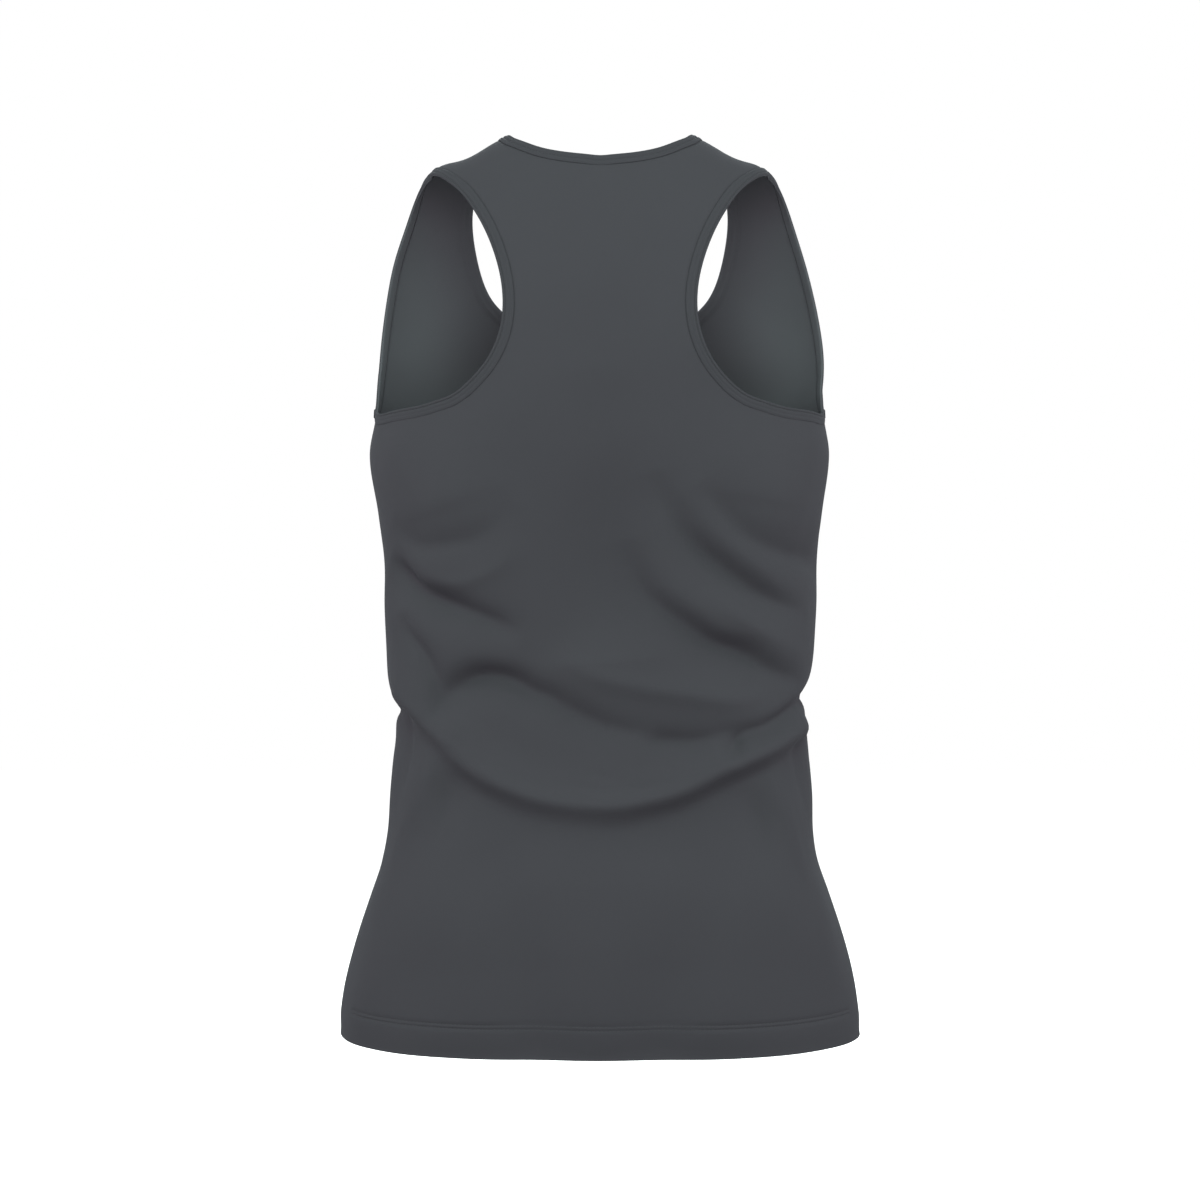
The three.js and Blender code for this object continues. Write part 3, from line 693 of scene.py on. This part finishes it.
def panel(name, is_front, columns, face, reverse):
    """One panel: both halves share the points of the centre line below the neck."""
    turn, climb = half_panel(is_front, columns)
    rows, wide = turn.shape
    body = len(body_heights(UNDERARM_Z))
    last_centre = body - 1 if is_front else body - 1 + BACK_CENTRE_ROWS
    points, normals, uv, quads = [], [], [], []
    left_grid = np.arange(rows * wide).reshape(rows, wide)
    right_grid = left_grid + rows * wide
    right_grid[:last_centre + 1, 0] = left_grid[:last_centre + 1, 0]
    for side, grid in ((1, left_grid), (-1, right_grid)):
        around = side * (math.pi - turn if is_front else turn)
        cloth, normal = cloth_at(around, climb)
        inward = seam_shape(cloth, last_centre, body - 1) + hem_shape(around, cloth) + waves(around, cloth)
        cloth = cloth - normal * inward[..., None]
        on_seam = (math.pi / 2 - turn < 1e-6) | (climb < 1e-6)
        cloth[..., 1] += np.where(on_seam, SEAM_OVERLAP if is_front else -SEAM_OVERLAP, 0.0)
        across = cloth_across(turn, climb) * side
        points.append(cloth.reshape(-1, 3))
        normals.append(normal.reshape(-1, 3))
        uv.append(np.stack([across, -climb], axis=-1).reshape(-1, 2))
        turned = side * (1 if is_front else -1) < 0
        for r in range(rows - 1):
            for c in range(wide - 1):
                quad = (grid[r, c], grid[r, c + 1], grid[r + 1, c + 1], grid[r + 1, c])
                quads.append(tuple(int(i) for i in (reversed(quad) if turned else quad)))
    points = np.vstack(points)
    normals = np.vstack(normals)
    uv = np.vstack(uv)
    keep = np.ones(len(points), bool)
    keep[rows * wide:][: (last_centre + 1) * wide:wide] = False
    place = np.cumsum(keep) - 1
    quads = [tuple(int(place[i]) for i in q) for q in quads]
    points, normals, uv = points[keep], normals[keep], uv[keep]
    layers = np.where(points[:, 2] < HEM_Z + HEM_DEPTH, HEM_LAYERS, 1.0)
    points, faces = closed_wall(points, normals, CLOTH * layers, quads)
    piece = mesh_object(name, points, faces, np.vstack([uv, uv]), face)
    piece.data.materials.append(reverse)
    for polygon in piece.data.polygons[len(quads):2 * len(quads)]:
        polygon.material_index = 1
    sharpen(piece, 50)
    return piece


# Binding sections: distance out from the cut line and height over the cloth's outer face, in
# order from the outer lip over the rim to the inner lip, then the pocket that holds the cloth's edge.
NECK_BINDING = (
    (-0.7, 0.06), (-0.5, 0.30), (0.0, 0.42), (0.7, 0.66), (1.7, 0.80), (2.5, 0.62), (2.9, 0.34),
    (3.3, 0.62), (4.3, 0.98), (5.2, 0.92), (5.7, 0.66), (6.2, 0.84), (6.8, 0.74), (7.3, 0.34),
    (7.5, -0.30), (7.4, -0.95), (6.9, -1.45), (6.0, -1.62), (4.0, -1.66), (2.9, -1.42),
    (1.6, -1.66), (0.0, -1.50), (-0.7, -1.08), (0.12, -1.08), (0.12, 0.06),
)
ARM_BINDING = (
    (-0.7, 0.06), (-0.5, 0.28), (0.0, 0.40), (0.8, 0.62), (1.6, 0.66), (2.1, 0.48), (2.6, 0.68),
    (3.6, 0.82), (4.5, 0.66), (5.0, 0.30), (5.4, 0.66), (6.0, 0.92), (6.6, 0.72), (6.95, 0.20),
    (7.0, -0.40), (6.8, -1.05), (6.2, -1.46), (5.0, -1.42), (3.6, -1.54), (1.8, -1.42),
    (0.6, -1.26), (-0.7, -1.08), (0.12, -1.08), (0.12, 0.06),
)
BINDING_WIDE = 7.0
# How far the outer rim of a binding is turned down where it crosses the shoulder.
NECK_TURN_DOWN = (1.8, 14.0)
ARM_TURN_DOWN = (3.6, 24.0)


def ring_of_places(back, front, is_neck):
    """Turn, climb and front or back of a closed ring: the neck, or the wearer's left armhole."""
    if is_neck:
        left = [(t, c) for t, c in zip(*back)]
        over = [(math.pi - t, c) for t, c in zip(*front)][::-1]
        half = left + over[1:]
        mirrored = [(-t, c) for t, c in half[1:-1]][::-1]
        return np.array(half + mirrored)
    rise = [(t, c) for t, c in zip(*back)]
    fall = [(math.pi - t, c) for t, c in zip(*front)][::-1]
    return np.array(rise + fall[1:-1])


def binding(name, ring, side, section_rows, turn_down, open_side, face, reverse):
    """A folded binding along a ring of cloth points, round the edge that the cloth leaves open."""
    turn = ring[:, 0] * side
    points, normals = cloth_at(turn, ring[:, 1])
    points = points - normals * waves(turn, points)[:, None]
    tangent = np.roll(points, -1, axis=0) - np.roll(points, 1, axis=0)
    tangent /= np.linalg.norm(tangent, axis=1, keepdims=True)
    out = np.cross(normals, tangent) * open_side
    out /= np.linalg.norm(out, axis=1, keepdims=True)
    run = np.concatenate([[0], np.cumsum(np.linalg.norm(np.diff(points, axis=0), axis=1))])
    profile = np.array(section_rows)
    deep, reach = turn_down
    droop = deep * np.exp(-((ring[:, 1] / reach) ** 2)) / BINDING_WIDE**2
    line = (points, normals, out, droop)
    corner = np.stack([binding_row(line, out_by, high)[0] for out_by, high in section_rows], axis=1)
    count, sides = len(points), len(profile)
    around = np.concatenate([[0], np.cumsum(np.linalg.norm(np.diff(profile, axis=0), axis=1))])
    faces = []
    for k in range(count):
        n = (k + 1) % count
        for s in range(sides):
            t = (s + 1) % sides
            quad = (k * sides + s, k * sides + t, n * sides + t, n * sides + s)
            faces.append(quad[::-1] if open_side > 0 else quad)
    uv = np.stack(np.broadcast_arrays(around[None, :], run[:, None]), axis=-1)
    piece = mesh_object(name, corner.reshape(-1, 3), faces, uv.reshape(-1, 2), face)
    piece.data.materials.append(reverse)
    lowest = np.minimum(profile[:, 1], np.roll(profile[:, 1], -1))
    for polygon, low in zip(piece.data.polygons, np.tile(lowest, count)):
        polygon.material_index = 1 if low < -0.5 else 0
    sharpen(piece, 60)
    return piece, line


def stitch_shape():
    """One stitch, modelled as a short thread whose ends turn down into the cloth."""
    bpy.ops.object.select_all(action="DESELECT")
    bpy.ops.mesh.primitive_cylinder_add(
        vertices=6, radius=STITCH_THICK / 2 * MM, depth=STITCH_LONG * MM, rotation=(0, math.pi / 2, 0)
    )
    stitch = bpy.context.active_object
    bpy.ops.object.transform_apply(location=False, rotation=True, scale=False)
    bpy.ops.object.mode_set(mode="EDIT")
    bpy.ops.mesh.select_all(action="SELECT")
    for place in (-0.28, 0.28):
        bpy.ops.mesh.select_all(action="SELECT")
        bpy.ops.mesh.bisect(plane_co=(place * STITCH_LONG * MM, 0, 0), plane_no=(1, 0, 0))
    bpy.ops.object.mode_set(mode="OBJECT")
    points = np.array([v.co for v in stitch.data.vertices]) / MM
    faces = [tuple(f.vertices) for f in stitch.data.polygons]
    bpy.data.objects.remove(stitch, do_unlink=True)
    points[:, 2] -= STITCH_DIP * (np.abs(points[:, 0]) / (STITCH_LONG / 2)) ** 3
    return points, faces


def seam_end_shape():
    """The bulge where a binding's ends are sewn together, modelled as a small rounded bar."""
    bpy.ops.object.select_all(action="DESELECT")
    bpy.ops.mesh.primitive_cube_add(size=MM)
    bar = bpy.context.active_object
    bpy.ops.object.mode_set(mode="EDIT")
    bpy.ops.mesh.select_all(action="SELECT")
    bpy.ops.transform.resize(value=SEAM_END)
    bpy.ops.mesh.bevel(offset=SEAM_END_ROUND * MM, segments=3, affect="EDGES")
    bpy.ops.object.mode_set(mode="OBJECT")
    points = np.array([v.co for v in bar.data.vertices]) / MM
    faces = [tuple(f.vertices) for f in bar.data.polygons]
    bpy.data.objects.remove(bar, do_unlink=True)
    return points, faces


def seam_ends(name, lines, material):
    """A seam end across each armhole binding, at the side seam."""
    shape, shape_faces = seam_end_shape()
    points, faces = [], []
    for line_points, normals, out, _ in lines:
        up, across = normals[0], out[0]
        middle = line_points[0] + across * SEAM_END_OUT + up * SEAM_END_HIGH
        start = len(shape) * len(points)
        points.append(middle + shape @ np.stack([np.cross(across, up), across, up]))
        faces += [tuple(i + start for i in f) for f in shape_faces]
    points = np.vstack(points)
    piece = mesh_object(name, points, faces, points[:, :2], material)
    sharpen(piece, 60)
    return piece


def stitch_row(line, normals, closed):
    """Places and directions of the stitches along a line on the cloth."""
    line = np.vstack([line, line[:1]]) if closed else line
    normals = np.vstack([normals, normals[:1]]) if closed else normals
    run = np.concatenate([[0], np.cumsum(np.linalg.norm(np.diff(line, axis=0), axis=1))])
    count = int(run[-1] / STITCH_PITCH)
    middle = (np.arange(count) + 0.5) * run[-1] / count
    def along(values, at):
        return np.stack([np.interp(at, run, values[:, k]) for k in range(3)], axis=1)
    place = along(line, middle)
    way = along(line, middle + 0.5) - along(line, middle - 0.5)
    up = along(normals, middle)
    way /= np.linalg.norm(way, axis=1, keepdims=True)
    side = np.cross(up, way)
    side /= np.linalg.norm(side, axis=1, keepdims=True)
    return place, way, side, np.cross(way, side)


def stitching(name, rows, material):
    """Rows of stitches joined in one piece."""
    shape, shape_faces = STITCH
    points, faces = [], []
    for line, normals, closed in rows:
        place, way, side, up = stitch_row(line, normals, closed)
        for k in range(len(place)):
            start = sum(len(p) for p in points) if not faces else len(shape) * len(points)
            points.append(place[k] + shape @ np.stack([way[k], side[k], up[k]]))
            faces += [tuple(i + start for i in f) for f in shape_faces]
    points = np.vstack(points)
    piece = mesh_object(name, points, faces, points[:, :2], material)
    sharpen(piece, 50)
    return piece


def binding_row(line, out_by, high):
    """A line along a binding, at a distance out from the cut line and a height over the cloth."""
    points, normals, out, droop = line
    high = high - droop * max(0.0, out_by) ** 2
    return points + out * out_by + normals * high[:, None], normals, True


def hem_row(up, first_turn, last_turn):
    """A line round the outside of the hem, between two turns."""
    turn = np.linspace(first_turn, last_turn, 240)
    points, normals = cloth_at(turn, climb_for(turn, np.full(turn.shape, HEM_Z + up)))
    inward = hem_shape(turn, points) + waves(turn, points)
    return points + normals * (STITCH_THICK / 4 - inward)[:, None], normals, False


# One stitch of the seams, in millimetres.
STITCH_LONG = 2.3
STITCH_THICK = 0.30
STITCH_DIP = 0.28
STITCH_PITCH = 2.7
NECK_STITCH_OUT = 2.9
NECK_STITCH_HIGH = 0.40
ARM_STITCH_OUT = 5.0
ARM_STITCH_HIGH = 0.36

# A seam end: its width, length across the binding and thickness, rounding, place and height.
SEAM_END = (2.6, 6.2, 1.7)
SEAM_END_ROUND = 0.6
SEAM_END_OUT = 3.3
SEAM_END_HIGH = 0.75

# Materials.
JERSEY = (0.0400, 0.0392, 0.0448)
JERSEY_LIGHT = (0.0453, 0.0445, 0.0506)
BINDING = (0.0382, 0.0377, 0.0431)
BINDING_LIGHT = (0.0431, 0.0427, 0.0484)
# The reverse is lighter than the face, partly as the knit's loop side and partly as painted light.
REVERSE_SHADED = (0.0678, 0.0686, 0.0761)
REVERSE_LIT = (0.0898, 0.0957, 0.1042)
# Painted light and shade on the reverse: the two colours above are its ends, the limits below place them.
REVERSE_SHADED_AT = -0.075
REVERSE_LIT_AT = -0.005
REVERSE_TOP_SHADE_FROM = -0.052
REVERSE_TOP_SHADE_TO = -0.018
REVERSE_SIDE_SHADE_IN = 0.080
REVERSE_SIDE_SHADE_OUT = 0.152
REVERSE_SIDE_SHADE_SHARE = 0.45
THREAD = (0.0300, 0.0300, 0.0335)
FLOOR_WHITE = 1.0
FLOOR_GLOW = 0.05
# The floor's painted shadow: its grey, its centre, and where it fades out to white.
FLOOR_SHADOW_GREY = 0.16
FLOOR_SHADOW_Y = 0.45
FLOOR_SHADOW_TO = 0.65
FLOOR_WHITE_FROM = 1.25
WALE = 0.62 * MM
COURSE = 0.50 * MM


def nodes_of(name):
    material = bpy.data.materials.new(name)
    material.use_nodes = True
    tree = material.node_tree
    shader = next(n for n in tree.nodes if n.type == "BSDF_PRINCIPLED")
    return material, tree, shader


def math_node(tree, operation, first, second=None):
    node = tree.nodes.new("ShaderNodeMath")
    node.operation = operation
    for socket, value in zip(node.inputs, (first, second)):
        if value is None:
            continue
        if isinstance(value, (int, float)):
            socket.default_value = value
        else:
            tree.links.new(value, socket)
    return node.outputs[0]


def noise(tree, coordinates, scale, detail):
    node = tree.nodes.new("ShaderNodeTexNoise")
    node.inputs["Scale"].default_value = scale
    node.inputs["Detail"].default_value = detail
    tree.links.new(coordinates, node.inputs["Vector"])
    return node.outputs["Fac"]


def jersey_material(name, dark, light, knit_height, painted_light_and_shade=False):
    """Fine smooth jersey: wales and courses of the knit, mixed yarn tones and a soft sheen.

    On the reverse the colour also holds painted light and shade: painted light up in the straps and out
    at the armholes, painted shade deep inside, in a band along the top edge and far out at the sides.
    """
    material, tree, shader = nodes_of(name)
    uv = tree.nodes.new("ShaderNodeUVMap")
    uv.uv_map = "cloth"
    split = tree.nodes.new("ShaderNodeSeparateXYZ")
    tree.links.new(uv.outputs["UV"], split.inputs[0])
    across = math_node(tree, "MULTIPLY", split.outputs[0], math.pi / WALE)
    wale = math_node(tree, "ABSOLUTE", math_node(tree, "SINE", across))
    lean = math_node(tree, "MULTIPLY", wale, 1.4)
    down = math_node(tree, "MULTIPLY", split.outputs[1], 2 * math.pi / COURSE)
    loop = math_node(tree, "SINE", math_node(tree, "ADD", down, lean))
    knit = math_node(tree, "ADD", wale, math_node(tree, "MULTIPLY", loop, 0.35))

    place = tree.nodes.new("ShaderNodeTexCoord")
    yarn = noise(tree, place.outputs["Object"], 1400, 2)
    cloud = noise(tree, place.outputs["Object"], 14, 3)
    ramp = tree.nodes.new("ShaderNodeMix")
    ramp.data_type = "RGBA"
    ramp.inputs["A"].default_value = (*dark, 1)
    ramp.inputs["B"].default_value = (*light, 1)
    yarn = math_node(tree, "MULTIPLY", yarn, 0.55)
    cloud = math_node(tree, "MULTIPLY", cloud, 0.35)
    tone = math_node(tree, "ADD", yarn, cloud)
    # Painted light and shade: lighter up and out, darker deep inside, at the top edge and the sides.
    if painted_light_and_shade:
        position = tree.nodes.new("ShaderNodeSeparateXYZ")
        tree.links.new(place.outputs["Object"], position.inputs[0])
        outward = math_node(tree, "ABSOLUTE", position.outputs[0])
        reach = math_node(tree, "ADD", math_node(tree, "MULTIPLY", outward, 0.8), position.outputs[2])
        painted_light_share = tree.nodes.new("ShaderNodeMapRange")
        painted_light_share.interpolation_type = "SMOOTHSTEP"
        painted_light_share.inputs["From Min"].default_value = REVERSE_SHADED_AT
        painted_light_share.inputs["From Max"].default_value = REVERSE_LIT_AT
        tree.links.new(reach, painted_light_share.inputs["Value"])
        top_painted_shade = tree.nodes.new("ShaderNodeMapRange")
        top_painted_shade.interpolation_type = "SMOOTHSTEP"
        top_painted_shade.inputs["From Min"].default_value = REVERSE_TOP_SHADE_TO
        top_painted_shade.inputs["From Max"].default_value = REVERSE_TOP_SHADE_FROM
        tree.links.new(position.outputs[2], top_painted_shade.inputs["Value"])
        outer = tree.nodes.new("ShaderNodeMapRange")
        outer.inputs["From Min"].default_value = REVERSE_SIDE_SHADE_IN
        outer.inputs["From Max"].default_value = REVERSE_SIDE_SHADE_OUT
        outer.inputs["To Min"].default_value = 1.0
        outer.inputs["To Max"].default_value = REVERSE_SIDE_SHADE_SHARE
        tree.links.new(outward, outer.inputs["Value"])
        lit = math_node(tree, "MULTIPLY", painted_light_share.outputs["Result"], top_painted_shade.outputs["Result"])
        lit = math_node(tree, "MULTIPLY", lit, outer.outputs["Result"])
        tone = math_node(tree, "MULTIPLY", math_node(tree, "ADD", tone, 0.45), lit)
    tree.links.new(tone, ramp.inputs["Factor"])
    tree.links.new(ramp.outputs["Result"], shader.inputs["Base Color"])

    bump = tree.nodes.new("ShaderNodeBump")
    bump.inputs["Strength"].default_value = 0.35
    bump.inputs["Distance"].default_value = knit_height
    tree.links.new(knit, bump.inputs["Height"])
    tree.links.new(bump.outputs["Normal"], shader.inputs["Normal"])
    shader.inputs["Roughness"].default_value = 0.92
    shader.inputs["Specular IOR Level"].default_value = 0.05
    shader.inputs["Sheen Weight"].default_value = 0.02
    shader.inputs["Sheen Roughness"].default_value = 0.45
    shader.inputs["Sheen Tint"].default_value = (0.80, 0.88, 1.0, 1)
    return material


def thread_material(name):
    """Matt polyester thread, a little darker than the jersey, with its twist in relief."""
    material, tree, shader = nodes_of(name)
    place = tree.nodes.new("ShaderNodeTexCoord")
    twist = noise(tree, place.outputs["Object"], 3000, 1)
    tone = tree.nodes.new("ShaderNodeMix")
    tone.data_type = "RGBA"
    tone.inputs["A"].default_value = (*THREAD, 1)
    tone.inputs["B"].default_value = (*JERSEY, 1)
    tree.links.new(twist, tone.inputs["Factor"])
    tree.links.new(tone.outputs["Result"], shader.inputs["Base Color"])
    bump = tree.nodes.new("ShaderNodeBump")
    bump.inputs["Strength"].default_value = 0.3
    bump.inputs["Distance"].default_value = 0.04 * MM
    tree.links.new(twist, bump.inputs["Height"])
    tree.links.new(bump.outputs["Normal"], shader.inputs["Normal"])
    shader.inputs["Roughness"].default_value = 0.7
    shader.inputs["Specular IOR Level"].default_value = 0.3
    return material


def floor_material(name):
    """Studio paper with a soft painted shadow: grey under the garment, fading to white round it."""
    material, tree, shader = nodes_of(name)
    place = tree.nodes.new("ShaderNodeTexCoord")
    centred = tree.nodes.new("ShaderNodeVectorMath")
    centred.operation = "SUBTRACT"
    centred.inputs[1].default_value = (0, FLOOR_SHADOW_Y, 0)
    tree.links.new(place.outputs["Object"], centred.inputs[0])
    reach = tree.nodes.new("ShaderNodeVectorMath")
    reach.operation = "LENGTH"
    tree.links.new(centred.outputs["Vector"], reach.inputs[0])
    shadow_fade = tree.nodes.new("ShaderNodeMapRange")
    shadow_fade.interpolation_type = "SMOOTHSTEP"
    shadow_fade.inputs["From Min"].default_value = FLOOR_SHADOW_TO
    shadow_fade.inputs["From Max"].default_value = FLOOR_WHITE_FROM
    shadow_fade.inputs["To Min"].default_value = FLOOR_SHADOW_GREY
    shadow_fade.inputs["To Max"].default_value = FLOOR_WHITE
    tree.links.new(reach.outputs["Value"], shadow_fade.inputs["Value"])
    tree.links.new(shadow_fade.outputs["Result"], shader.inputs["Base Color"])
    shader.inputs["Emission Color"].default_value = (1, 1, 1, 1)
    shader.inputs["Emission Strength"].default_value = FLOOR_GLOW
    shader.inputs["Roughness"].default_value = 0.95
    shader.inputs["Specular IOR Level"].default_value = 0.0
    return material


jersey = jersey_material("slate_jersey", JERSEY, JERSEY_LIGHT, 0.08 * MM)
jersey_reverse = jersey_material("slate_jersey_reverse", REVERSE_SHADED, REVERSE_LIT, 0.06 * MM, True)
binding_jersey = jersey_material("slate_binding", BINDING, BINDING_LIGHT, 0.10 * MM)

back_cloth = panel("back_cloth", False, BACK_COLUMNS, jersey, jersey_reverse)
front_cloth = panel("front_cloth", True, FRONT_COLUMNS, jersey, jersey_reverse)
neck_ring = ring_of_places(back_neck, front_neck, True)
arm_ring = ring_of_places(back_arm, front_arm, False)
binding_sides = (binding_jersey, jersey_reverse)
neck_band, neck_line = binding("neck_band", neck_ring, 1, NECK_BINDING, NECK_TURN_DOWN, -1, *binding_sides)
arm_style = (ARM_BINDING, ARM_TURN_DOWN)
arm_band_left, left_line = binding("arm_band_left", arm_ring, 1, *arm_style, 1, *binding_sides)
arm_band_right, right_line = binding("arm_band_right", arm_ring, -1, *arm_style, -1, *binding_sides)

binding_seam_ends = seam_ends("binding_seam_ends", [left_line, right_line], binding_jersey)

thread = thread_material("slate_thread")
STITCH = stitch_shape()
neck_stitches = stitching(
    "neck_stitches", [binding_row(neck_line, NECK_STITCH_OUT, NECK_STITCH_HIGH)], thread
)
arm_stitches_left = stitching(
    "arm_stitches_left", [binding_row(left_line, ARM_STITCH_OUT, ARM_STITCH_HIGH)], thread
)
arm_stitches_right = stitching(
    "arm_stitches_right", [binding_row(right_line, ARM_STITCH_OUT, ARM_STITCH_HIGH)], thread
)
hem_stitches_back = stitching(
    "hem_stitches_back", [hem_row(up, -HEM_STITCH_TO, HEM_STITCH_TO) for up in HEM_STITCH_UP], thread
)
hem_stitches_front = stitching(
    "hem_stitches_front",
    [hem_row(up, math.pi - HEM_STITCH_TO, math.pi + HEM_STITCH_TO) for up in HEM_STITCH_UP],
    thread,
)

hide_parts("back_panel")
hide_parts("front_panel")
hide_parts("neck_binding")
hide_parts("armhole_binding_left")
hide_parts("armhole_binding_right")
for piece in (back_cloth, front_cloth):
    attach(piece, BODY)
for piece in (
    neck_band, arm_band_left, arm_band_right, binding_seam_ends,
    neck_stitches, arm_stitches_left, arm_stitches_right,
):
    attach(piece, BODY)
for piece in (hem_stitches_back, hem_stitches_front):
    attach(piece, BODY)

# Camera: level, square to the back, as far off and as long as the photograph's.
PHOTO_PIXELS = 1200
PIXEL_SIZE = 0.70 * MM
CAMERA_DISTANCE = 1.613
CAMERA_HEIGHT = -0.3115
SENSOR = 36.0

camera_data = bpy.data.cameras.new("camera")
camera_data.sensor_width = SENSOR
camera_data.lens = SENSOR * CAMERA_DISTANCE / (PHOTO_PIXELS * PIXEL_SIZE)
camera = bpy.data.objects.new("camera", camera_data)
camera.location = (0.0, CAMERA_DISTANCE, CAMERA_HEIGHT)
camera.rotation_euler = (math.radians(90), 0.0, math.radians(180))
bpy.context.collection.objects.link(camera)
bpy.context.scene.camera = camera

# Studio: a floor well below the garment, white but for a grey patch, a painted shadow on the camera's side
# that also keeps light off the cloth from below, an even white surround and soft lights.
FLOOR_Z = -0.95
bpy.ops.mesh.primitive_plane_add(size=14, location=(0, 0, FLOOR_Z))
floor = bpy.context.active_object
floor.name = "studio_floor"
floor.data.materials.append(floor_material("studio_paper"))

world = bpy.data.worlds.new("studio")
bpy.context.scene.world = world
world.use_nodes = True
background = world.node_tree.nodes["Background"]
background.inputs["Color"].default_value = (1, 1, 1, 1)
background.inputs["Strength"].default_value = 1.0


def soft_light(name, place, aim, size, power, colour):
    data = bpy.data.lights.new(name, "AREA")
    data.shape = "SQUARE"
    data.size = size
    data.energy = power
    data.color = colour
    lamp = bpy.data.objects.new(name, data)
    lamp.location = place
    way = np.array(aim) - np.array(place)
    lamp.rotation_euler = (
        math.acos(-way[2] / np.linalg.norm(way)),
        0.0,
        math.atan2(way[1], way[0]) - math.pi / 2,
    )
    bpy.context.collection.objects.link(lamp)
    return lamp


soft_light("key_high", (0.0, 2.45, 1.30), (0, 0, -0.3), 1.5, 67, (0.62, 1.0, 0.80))
soft_light("key_low", (0.0, 2.93, -0.15), (0, 0, -0.3), 1.5, 42, (1.0, 0.76, 0.87))
soft_light("side_left", (2.50, 0.44, 1.165), (0, 0, -0.3), 1.5, 49, (1, 1, 1))
soft_light("side_right", (-2.50, 0.44, 1.165), (0, 0, -0.3), 1.5, 49, (1, 1, 1))
soft_light("key_front", (0.0, -2.1, 1.3), (0, 0, -0.3), 1.5, 42, (0.92, 1.0, 1.0))
bpy.context.scene.view_settings.view_transform = "Standard"
bpy.context.scene.view_settings.gamma = 0.85
